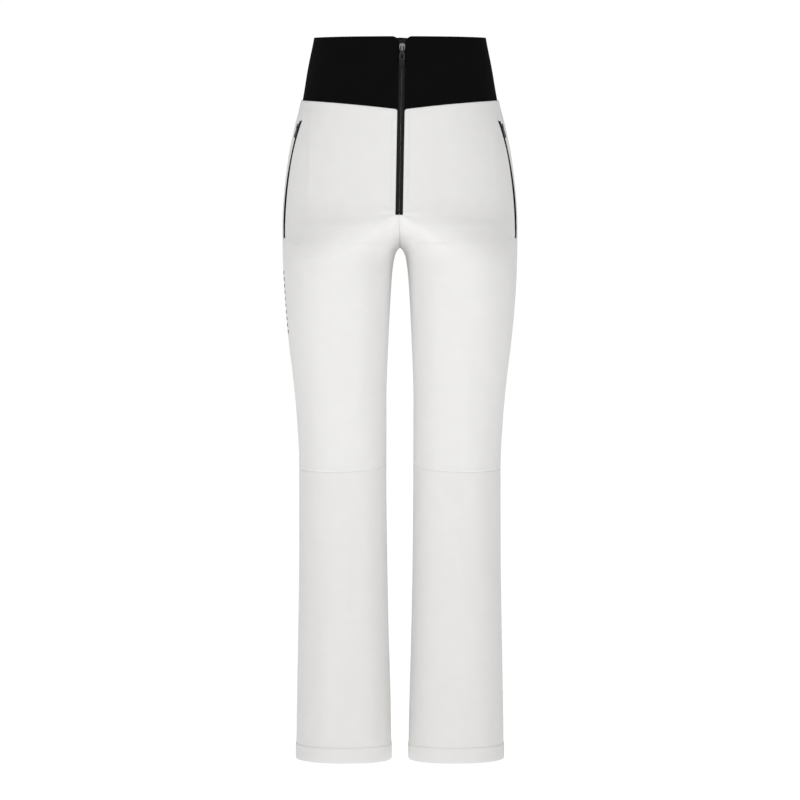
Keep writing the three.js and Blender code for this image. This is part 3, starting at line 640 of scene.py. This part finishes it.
# ---- Rings round a leg ----
HALF_RING_GIRTH = 245.0  # about half a hem's girth, which sets the scale of a ring's weave


def leg_ring(name, side, heights, inset, thick, material):
    """A ring of cloth round a leg; inset may depend on height and on the way round."""
    count = 150
    way = np.arange(count * 2) / count
    share = np.where(way < 1, way, 2 - way)
    parts = {"front": way < 1, "back": way >= 1}
    rolled = np.minimum(heights - heights[0], heights[-1] - heights)
    turn = (fold(rolled) * thick / FABRIC)[:, None]
    depth = inset(heights[:, None], way[None, :])
    layers = []
    for offset in (turn, thick - turn):
        grid = np.zeros((len(heights), count * 2, 3))
        for face, chosen in parts.items():
            inwards = (depth + offset)[:, chosen]
            grid[:, chosen] = placed(side, face, share[None, chosen], heights[:, None], inwards)
        layers.append(grid)
    around = np.where(way < 1, way, 2 - way) * HALF_RING_GIRTH * np.where(way < 1, 1, -1)
    uv = np.stack(np.broadcast_arrays(around[None, :], heights[:, None]), -1).astype(float)
    mask = np.ones((len(heights) - 1, count * 2), bool)
    points, faces, uvs = closed_shell(*layers, uv, mask, ring=True)
    return finish_cloth(name, points, faces, uvs, material)


def leg_rings(side):
    name = side_name(side)

    def hem_inset(height, way):
        ticks = 0.12 * np.sin(way * np.pi * 38) * bell((height - HEM_DEPTH + 3) / 3)
        return -0.7 + ticks + 0.3 * smoothstep(6, 0, height)

    def gaiter_inset(height, way):
        gathered = 0.9 * np.sin(way * np.pi * 34) * (1 - smoothstep(60, 120, height))
        return 3.6 + 12 * (1 - smoothstep(78, 205, height)) + gathered

    def elastic_inset(height, way):
        return 14.8 + 0.35 * np.sin(way * np.pi * 60) + 0 * height

    hem = graded(0, HEM_DEPTH, ())
    # The hem band takes the shell copy darkened with painted shade
    leg_ring(f"hem_band_{name}", side, hem, hem_inset, 2.9, SHELL_LOWER_PAINTED_SHADE)
    leg_ring(f"gaiter_{name}", side, graded(58, 205, ()), gaiter_inset, 1.2, LINING)
    leg_ring(f"gaiter_elastic_{name}", side, graded(32, 57.5, ()), elastic_inset, 2.2, TAPE)


# ---- Zip tapes ----
def tape_piece(name, outer, inner, uv):
    mask = np.ones((outer.shape[0] - 1, outer.shape[1] - 1), bool)
    points, faces, uvs = closed_shell(outer, inner, uv, mask)
    return finish_cloth(name, points, faces, uvs, TAPE)


def crowned(across):
    """A tape's face swells a little beside the teeth that lie under it."""
    return -0.35 * bell((np.abs(across) - 2.2) / 1.5) + 0.25 * bell(across / 0.8)


def fly_tapes():
    heights = graded(FLY_BOTTOM - 3, FLY_TOP, (), step=4, fine=(0, 0.3, 0.8))
    across = np.array([ZIP_GAP, 0.8, 1.2, 1.7, 2.2, 2.8, 3.4, 4.2, 5.2, 7, 9.5, TAPE_WIDTH])
    for side in (1, -1):
        share = across[None, :] / FACES["front"].length(heights)[:, None]
        height = heights[:, None] + 0 * share
        face = TAPE_INSET + crowned(across)
        outer = placed(side, "front", share, height, face[None, :], rough=False)
        inner = placed(side, "front", share, height, TAPE_INSET + TAPE_THICK, rough=False)
        uv = np.stack([across[None, :] + 0 * share, height], -1)
        tape_piece(f"fly_tape_{side_name(side)}", outer, inner, uv)


def pocket_tapes(side):
    arc = ARCS[side]
    ends = 5 / arc.radius
    angles = np.linspace(arc.top_angle - ends, arc.foot_angle + ends, 60)
    across = np.array([ZIP_GAP, 0.8, 1.2, 1.7, 2.2, 2.8, 3.4, 4.2, 5.2, 7, 9])
    for edge, away in (("front", side), ("rear", -side)):
        outer = arc.points(angles, across * away, -crowned(across))
        inner = arc.points(angles, across * away, -TAPE_THICK)
        down = (angles - angles[0]) * arc.radius
        uv = np.stack(np.broadcast_arrays(across[None, :], down[:, None]), -1)
        tape_piece(f"pocket_tape_{edge}_{side_name(side)}", outer, inner, uv)


def pocket_bindings(side):
    """Black binding along both walls of a pocket opening, running a little past its ends."""
    arc = ARCS[side]
    reach = 3.4 / arc.radius
    angles = np.linspace(arc.top_angle - reach, arc.foot_angle + reach / 2, 70)
    profile = np.array([[4.6, 0.05], [4.1, 0.2], [4.05, 2.6], [4.1, 3.9],
                        [4.4, 4.5], [5.0, 4.45], [5.6, 3.6]])
    for edge, away in (("front", side), ("rear", -side)):
        outer = arc.points(angles, profile[:, 0] * away, profile[:, 1])
        inner = arc.points(angles, (profile[:, 0] + 0.6) * away, profile[:, 1] - 0.5)
        walked = np.concatenate([[0], np.cumsum(np.linalg.norm(np.diff(profile, axis=0), axis=1))])
        uv = np.stack(np.broadcast_arrays(walked[None, :], (angles * arc.radius)[:, None]), -1)
        mask = np.ones((outer.shape[0] - 1, outer.shape[1] - 1), bool)
        points, faces, uvs = closed_shell(outer, inner, uv, mask)
        piece = make_piece(f"pocket_binding_{edge}_{side_name(side)}", points, faces, TAPE, uvs)


# ---- Stitches, marks and small cloth pieces ----
def stitch_run(name, paths, material, pitch=3.3, length=2.5, radius=0.24):
    """Thread stitches laid along paths, each a slim capsule; a path is (points, outward normals)."""
    rings, sides = (-0.5, -0.36, 0.36, 0.5), 6
    swell = (0.35, 1.0, 1.0, 0.35)
    turn = np.arange(sides) * 2 * np.pi / sides
    points, faces, count = [], [], 0
    ring = [(k, (k + 1) % sides) for k in range(sides)]
    pattern = [[r * sides + a, r * sides + b, (r + 1) * sides + b, (r + 1) * sides + a]
               for r in range(len(rings) - 1) for a, b in ring]
    caps = [list(range(sides))[::-1], [3 * sides + k for k in range(sides)]]
    for path, outward in paths:
        walked = np.concatenate([[0], np.cumsum(np.linalg.norm(np.diff(path, axis=0), axis=1))])
        for at in np.arange(pitch / 2, walked[-1], pitch):
            centre = np.array([np.interp(at, walked, path[:, k]) for k in range(3)])
            ahead = np.array([np.interp(at + 0.5, walked, path[:, k]) for k in range(3)])
            out = np.array([np.interp(at, walked, outward[:, k]) for k in range(3)])
            along = ahead - centre
            if np.linalg.norm(along) < 1e-6:
                continue
            along /= np.linalg.norm(along)
            across = np.cross(out, along)
            across /= np.linalg.norm(across)
            out = np.cross(along, across)
            for place, size in zip(rings, swell):
                circle = np.cos(turn)[:, None] * across + np.sin(turn)[:, None] * out * 0.8
                sunk = out * (0.12 - 0.5 * abs(place) ** 2)
                points.append(centre + along * place * length + sunk + circle * radius * size)
            faces += [[v + count for v in face] for face in pattern + caps]
            count += len(rings) * sides
    piece = make_piece(name, np.concatenate(points), faces, material)
    return piece


def path_on(side, face, distance, height, inset=-0.08):
    """A path over the cloth and its normals, from distances from the middle at heights."""
    height = np.asarray(height, float)
    share = np.asarray(distance, float) / FACES[face].length(height)
    points = placed(side, face, share, height, inset)
    normals = FACES[face].normal(share, height) * np.array([side, 1, 1])
    return points, normals


def panel_line(side, face, level, inset):
    """A path across a panel along one of its rows, such as beside the knee or waistband seam."""
    beside_fly = face == "front" and level > 900
    along = np.linspace(0.06 if beside_fly else 0.015, 0.985, 90)
    height = level + body_shift(face, np.full(90, level), along)
    return path_on(side, face, along * FACES[face].length(height), height, inset)


def topstitching():
    for side in (1, -1):
        name = side_name(side)
        rise = np.linspace(FLY_BOTTOM + 1, 962, 80)
        pocket = np.linspace(POCKET_BOTTOM - 1, POCKET_TOP + 1, 60)
        upper = [path_on(side, "front", np.full(80, 12.6), rise)]
        upper += [path_on(side, "front", pocket_line(pocket) + away * (POCKET_CHANNEL + 1.9), pocket)
                  for away in (-1, 1)]
        upper += [panel_line(side, face, SEAM_HEIGHT - 3, -0.05) for face in ("front", "back")]
        upper += [panel_line(side, face, KNEE_HEIGHT + 3.4, -0.02) for face in ("front", "back")]
        seat = np.linspace(800, 990, 80)
        upper.append(path_on(side, "back", np.full(80, 3.2), seat))
        stitch_run(f"topstitching_{name}", upper, THREAD)
        around = [path_on(side, face, np.linspace(0.01, 0.99, 90) * FACES[face].length(HEM_DEPTH - 2.6),
                          np.full(90, HEM_DEPTH - 2.6), -0.72) for face in ("front", "back")]
        stitch_run(f"hem_stitching_{name}", around, THREAD)


def printed_bars():
    """A plain row of short bars printed down the outside of the wearer's right thigh."""
    top, foot, count, tall, wide = 732, 643, 10, 5.0, 8.4
    points, faces, uvs, total = [], [], [], 0
    for level in np.linspace(top, foot, count):
        heights = np.linspace(level - tall / 2, level + tall / 2, 5)
        lengths = FACES["front"].length(heights)[:, None]
        distance = lengths - 21 + np.linspace(-wide / 2, wide / 2, 7)[None, :]
        height = heights[:, None] + 0 * distance
        outer = placed(-1, "front", distance / lengths, height, -0.16)
        inner = placed(-1, "front", distance / lengths, height, 0.05)
        mask = np.ones((4, 6), bool)
        made = closed_shell(outer, inner, np.stack([distance, height], -1), mask)
        points.append(made[0])
        faces.append(made[1] + total)
        uvs.append(made[2])
        total += len(made[0])
    piece = make_piece("thigh_print", np.concatenate(points), np.concatenate(faces), PRINT,
                       np.concatenate(uvs))


def zip_coils():
    """The nylon coil sewn along the back of each front tape, loop after loop."""
    for side in (1, -1):
        heights = np.arange(FLY_BOTTOM + 7.5, FLY_TOP - 6.5, 0.14)
        phase = heights * 2 * np.pi / 1.27
        across = 1.75 + 0.85 * np.cos(phase)
        depth = 5.6 + 0.62 * np.sin(phase)
        share = across / FACES["front"].length(heights)
        path = placed(side, "front", share, heights, depth, rough=False)
        piece = swept(f"fly_coil_{side_name(side)}", path, 0.27, COIL)
        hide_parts(f"fly_teeth_{side_name(side)}")


def swept(name, path, radius, material, sides=5):
    """A closed round wire along a path."""
    ahead = np.gradient(path, axis=0)
    ahead /= np.linalg.norm(ahead, axis=1, keepdims=True)
    across = np.cross(ahead, [0.0, 0.3, 1.0])
    across /= np.linalg.norm(across, axis=1, keepdims=True)
    out = np.cross(ahead, across)
    turn = np.arange(sides) * 2 * np.pi / sides
    circle = np.cos(turn)[None, :, None] * across[:, None] + np.sin(turn)[None, :, None] * out[:, None]
    points = (path[:, None] + circle * radius).reshape(-1, 3)
    index = np.arange(len(path) * sides).reshape(len(path), sides)
    a, d = index[:-1], index[1:]
    b, c = np.roll(a, -1, 1), np.roll(d, -1, 1)
    faces = np.stack([a, b, c, d], -1).reshape(-1, 4).tolist()
    faces += [index[0][::-1].tolist(), index[-1].tolist()]
    return make_piece(name, points, faces, material)


# ---- Materials ----
class Graph:
    """A material's node tree, with short ways to add and join nodes."""

    def __init__(self, name):
        self.material = bpy.data.materials.new(name)
        self.material.use_nodes = True
        self.tree = self.material.node_tree
        self.shader = self.tree.nodes["Principled BSDF"]

    def add(self, kind, inputs=(), **settings):
        node = self.tree.nodes.new(kind)
        for key, value in settings.items():
            setattr(node, key, value)
        for key, value in dict(inputs).items():
            if isinstance(value, bpy.types.NodeSocket):
                self.tree.links.new(value, node.inputs[key])
            else:
                node.inputs[key].default_value = value
        return node

    def math(self, operation, a, b):
        return self.add("ShaderNodeMath", {0: a, 1: b}, operation=operation).outputs[0]

    def wave(self, vector, axis, period, distortion=0.0):
        inputs = {"Vector": vector, "Scale": math.pi / 10 / period, "Distortion": distortion,
                  "Detail": 1.0, "Detail Scale": 2.0}
        return self.add("ShaderNodeTexWave", inputs, wave_type="BANDS", bands_direction=axis).outputs["Fac"]

    def noise(self, vector, scale, detail=3.0, roughness=0.55):
        inputs = {"Vector": vector, "Scale": scale, "Detail": detail, "Roughness": roughness}
        return self.add("ShaderNodeTexNoise", inputs).outputs["Fac"]

    def ramp(self, value, low, high, from_=0.3, to=0.7):
        ranged = self.add("ShaderNodeMapRange", {"Value": value, "From Min": from_, "From Max": to})
        mixed = self.add("ShaderNodeMix", {"Factor": ranged.outputs[0]}, data_type="RGBA")
        mixed.inputs[6].default_value = (*low, 1)
        mixed.inputs[7].default_value = (*high, 1)
        return mixed.outputs[2]

    def bump(self, height, distance, strength=1.0, under=None):
        inputs = {"Height": height, "Distance": distance, "Strength": strength}
        if under is not None:
            inputs["Normal"] = under
        return self.add("ShaderNodeBump", inputs).outputs[0]

    def set(self, **values):
        for key, value in values.items():
            socket = self.shader.inputs[key.replace("_", " ").title().replace("Ior", "IOR")]
            if isinstance(value, bpy.types.NodeSocket):
                self.tree.links.new(value, socket)
            else:
                socket.default_value = value


def tint(colour, factor):
    return tuple(min(c * factor, 1.0) for c in colour)


def cloth(name, colour, thread=0.0006, rough=0.85, sheen=0.2, weave_depth=0.00006, crimp=0.00025,
          ribs=None, mottle=0.02, by_object=False, specular=0.25):
    """A woven or knitted cloth: two crossed thread directions, an uneven surface and faint mottling."""
    graph = Graph(name)
    coordinates = graph.add("ShaderNodeTexCoord")
    vector = coordinates.outputs["Object" if by_object else "UV"]
    place = coordinates.outputs["Object"]
    second = "Z" if by_object else "Y"
    warp = graph.wave(vector, "X", ribs or thread, 0.4)
    weft = graph.wave(vector, second, thread, 0.4)
    if ribs is None:
        weave = graph.math("MULTIPLY", warp, weft)
    else:
        weave = graph.math("ADD", warp, graph.math("MULTIPLY", weft, 0.35))
    uneven = graph.noise(place, 42.0)
    fuzz = graph.noise(place, 900.0, 2.0)
    broad = graph.bump(uneven, crimp, 1.0)
    fine = graph.bump(weave, weave_depth, 1.0, broad)
    soft = graph.bump(fuzz, 0.00004, 1.0, fine)
    threads = graph.math("ADD", graph.math("MULTIPLY", weave, 0.35), graph.math("MULTIPLY", uneven, 0.65))
    graph.set(base_color=graph.ramp(threads, tint(colour, 1 - mottle), tint(colour, 1 + mottle)),
              roughness=rough, sheen_weight=sheen, sheen_roughness=0.5, normal=soft)
    graph.shader.inputs["Specular IOR Level"].default_value = specular
    return graph.material


def twill_tape(name, colour):
    """Zip tape: fine herringbone ribs."""
    graph = Graph(name)
    coordinates = graph.add("ShaderNodeTexCoord")
    split = graph.add("ShaderNodeSeparateXYZ", {0: coordinates.outputs["UV"]})
    folded = graph.math("PINGPONG", split.outputs[0], 0.0011)
    slanted = graph.add("ShaderNodeCombineXYZ", {0: folded, 1: split.outputs[1], 2: 0.0})
    ribs = graph.wave(slanted.outputs[0], "DIAGONAL", 0.00075)
    cross = graph.wave(coordinates.outputs["UV"], "Y", 0.0005)
    height = graph.math("ADD", ribs, graph.math("MULTIPLY", cross, 0.4))
    fuzz = graph.noise(coordinates.outputs["Object"], 700.0, 2.0)
    normal = graph.bump(fuzz, 0.00003, 1.0, graph.bump(height, 0.0001))
    graph.set(base_color=graph.ramp(height, tint(colour, 0.75), tint(colour, 1.3), 0.1, 1.1),
              roughness=0.75, normal=normal)
    graph.shader.inputs["Specular IOR Level"].default_value = 0.2
    return graph.material


def metal(name, colour, rough, grain=0.00002, metallic=1.0, coat=0.0):
    """Plated or lacquered metal, tumbled smooth, with faint wear in its gloss."""
    graph = Graph(name)
    place = graph.add("ShaderNodeTexCoord").outputs["Object"]
    patches = graph.noise(place, 350.0, 4.0)
    scratches = graph.noise(place, 1800.0, 2.0)
    limits = {"Value": patches, "To Min": rough * 0.75, "To Max": rough * 1.3}
    gloss = graph.add("ShaderNodeMapRange", limits)
    graph.set(base_color=graph.ramp(patches, tint(colour, 0.9), tint(colour, 1.08)), metallic=metallic,
              roughness=gloss.outputs[0], normal=graph.bump(scratches, grain))
    graph.shader.inputs["Coat Weight"].default_value = coat
    return graph.material


def moulded(name, colour, rough):
    """Moulded rubber, nylon or silicone with a fine matte grain."""
    graph = Graph(name)
    place = graph.add("ShaderNodeTexCoord").outputs["Object"]
    grain = graph.noise(place, 2200.0, 2.0)
    patches = graph.noise(place, 120.0)
    limits = {"Value": patches, "To Min": rough * 0.85, "To Max": rough * 1.15}
    gloss = graph.add("ShaderNodeMapRange", limits)
    graph.set(base_color=graph.ramp(patches, tint(colour, 0.85), tint(colour, 1.15)),
              roughness=gloss.outputs[0], normal=graph.bump(grain, 0.00003))
    graph.shader.inputs["Specular IOR Level"].default_value = 0.25
    return graph.material


SHELL = cloth("white_softshell", (0.80, 0.794, 0.786))
# A copy of the shell with a darker base colour for the lower legs and hems: painted shade, where the lower
# leg lies darker under the lights than the thigh
SHELL_LOWER_PAINTED_SHADE = cloth("white_softshell_lower_painted_shade", (0.782, 0.774, 0.763))
THREAD = cloth("white_thread", (0.83, 0.825, 0.815), thread=0.0003, by_object=True, sheen=0.05,
               crimp=0.00002)
KNIT = cloth("black_knit", (0.0034, 0.0033, 0.0034), thread=0.0009, ribs=0.0012, rough=0.9, sheen=0.0,
             weave_depth=0.00022, mottle=0.12, specular=0.05)
KNIT_INSIDE = cloth("black_knit_facing", (0.009, 0.009, 0.0095), thread=0.0007, rough=0.85, sheen=0.03,
                    mottle=0.1, specular=0.15)
LINING = cloth("pale_lining", (0.62, 0.62, 0.61), thread=0.0004, rough=0.6, sheen=0.1, by_object=True)
TAPE = twill_tape("black_zip_tape", (0.0095, 0.0095, 0.0095))
LOOP = cloth("black_ribbon", (0.02, 0.02, 0.02), thread=0.0005, by_object=True, mottle=0.1)
GRIP = moulded("black_silicone", (0.02, 0.02, 0.02), 0.4)
PRINT = moulded("dark_print", (0.022, 0.022, 0.024), 0.55)
COIL = moulded("black_nylon", (0.012, 0.012, 0.012), 0.35)
RUBBER = moulded("black_rubber_end", (0.006, 0.006, 0.006), 0.5)
NICKEL = metal("nickel_plate", (0.42, 0.41, 0.39), 0.24)
GUNMETAL = metal("gunmetal_plate", (0.055, 0.052, 0.05), 0.34)
BLACK_METAL = metal("black_lacquer", (0.012, 0.012, 0.012), 0.4, metallic=0.0, coat=0.3)


def finish_cad_nodes():
    """Gives the CAD pieces that stay in view their materials and softens the hardware's edges."""
    finishes = {
        "fly_slider": NICKEL, "fly_puller": GUNMETAL, "fly_puller_end": RUBBER,
        "fly_bottom_stop": BLACK_METAL,
        "fly_underlap": LINING,
    }
    for name in ("left", "right"):
        finishes.update({
            f"fly_top_stop_{name}": NICKEL, f"pocket_{name}_slider": BLACK_METAL,
            f"pocket_{name}_puller": BLACK_METAL, f"pocket_bag_{name}": LINING, f"hanger_loop_{name}": LOOP,
            f"pocket_teeth_front_{name}": COIL, f"pocket_teeth_rear_{name}": COIL,
        })
    for name, material in finishes.items():
        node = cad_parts[name]
        node.data.materials.clear()
        node.data.materials.append(material)
        if material in (NICKEL, GUNMETAL, BLACK_METAL, RUBBER):
            bevel = node.modifiers.new("edges", "BEVEL")
            bevel.width = 0.0003 if name == "fly_puller_end" else 0.00018
            bevel.segments = 2
            bevel.limit_method = "ANGLE"
            bevel.angle_limit = math.radians(40)


# ---- Setting ----
CAMERA_DISTANCE = 4.5
CAMERA_HEIGHT = 0.540 - SIDE_LENGTH / 1000
CAMERA_LENS = 133.9
FLOOR_DROP = 0.10  # the pants hang clear of the floor, as on a hidden form
FLOOR_GLOW = 0.69
ROOM_LIGHT = 0.47
LEFT_LIGHT = 0.12
RIGHT_LIGHT = 0.05
BACKDROP = 1.02
KEY_LIGHT = 29.5
FILL_LIGHT = 23.5
FRONT_LIGHT = 11.0


def stage():
    bpy.ops.mesh.primitive_plane_add(size=60, location=(0, 0, -SIDE_LENGTH / 1000 - FLOOR_DROP))
    floor = bpy.context.object
    floor.name = "floor"
    graph = Graph("pale_floor")
    place = graph.add("ShaderNodeTexCoord").outputs["Object"]
    clouded = graph.ramp(graph.noise(place, 3.0), (0.80, 0.80, 0.80), (0.82, 0.82, 0.82))
    graph.set(base_color=clouded, roughness=0.8, emission_color=(1, 1, 1, 1), emission_strength=FLOOR_GLOW)
    floor.data.materials.append(graph.material)


def soft_box(name, location, size, watts, aim=(0, 0, -0.55)):
    light = bpy.data.lights.new(name, "AREA")
    light.shape = "RECTANGLE"
    light.size, light.size_y = size
    light.energy = watts
    lamp = bpy.data.objects.new(name, light)
    lamp.location = location
    lamp.rotation_euler = (Vector(location) - Vector(aim)).to_track_quat("Z", "Y").to_euler()
    bpy.context.scene.collection.objects.link(lamp)


def lighting():
    """A white backdrop, a bright room before and behind, darker to the sides, and three soft boxes."""
    world = bpy.data.worlds.new("studio")
    world.use_nodes = True
    tree = world.node_tree
    split = tree.nodes.new("ShaderNodeSeparateXYZ")
    tree.links.new(tree.nodes.new("ShaderNodeTexCoord").outputs["Generated"], split.inputs[0])

    def ranged(socket, *limits):
        node = tree.nodes.new("ShaderNodeMapRange")
        tree.links.new(socket, node.inputs["Value"])
        for key, value in zip(("From Min", "From Max", "To Min", "To Max"), limits):
            if isinstance(value, float):
                node.inputs[key].default_value = value
            else:
                tree.links.new(value, node.inputs[key])
        return node.outputs[0]

    right = ranged(split.outputs[0], 0.35, 0.95, ROOM_LIGHT, RIGHT_LIGHT)
    sides = ranged(split.outputs[0], -0.35, -0.95, right, LEFT_LIGHT)
    strength = ranged(split.outputs[1], 0.90, 0.97, sides, BACKDROP)
    tree.links.new(strength, tree.nodes["Background"].inputs["Strength"])
    tree.nodes["Background"].inputs["Color"].default_value = (1, 1, 1, 1)
    bpy.context.scene.world = world
    soft_box("key", (-2.5, -2.7, 0.5), (1.4, 2.2), KEY_LIGHT)
    soft_box("fill", (2.3, -2.7, 0.0), (1.4, 2.2), FILL_LIGHT)
    soft_box("front", (0.0, -5.0, -0.55), (1.6, 2.2), FRONT_LIGHT)
    bpy.context.scene.view_settings.view_transform = "Standard"


def camera():
    data = bpy.data.cameras.new("photo")
    data.lens = CAMERA_LENS
    data.sensor_width = 36
    eye = bpy.data.objects.new("photo", data)
    eye.location = (0, -CAMERA_DISTANCE, CAMERA_HEIGHT)
    eye.rotation_euler = (math.pi / 2, 0, 0)
    bpy.context.scene.collection.objects.link(eye)
    bpy.context.scene.camera = eye


# ---- Assembly ----
for wearer_side in (1, -1):
    for panel_face in ("front", "back"):
        for panel_part in ("upper", "lower"):
            shell_panel(wearer_side, panel_face, panel_part)
    leg_rings(wearer_side)
    pocket_tapes(wearer_side)
    pocket_bindings(wearer_side)
waistband()
fly_tapes()
zip_coils()
topstitching()
printed_bars()
finish_cad_nodes()
stage()
lighting()
camera()
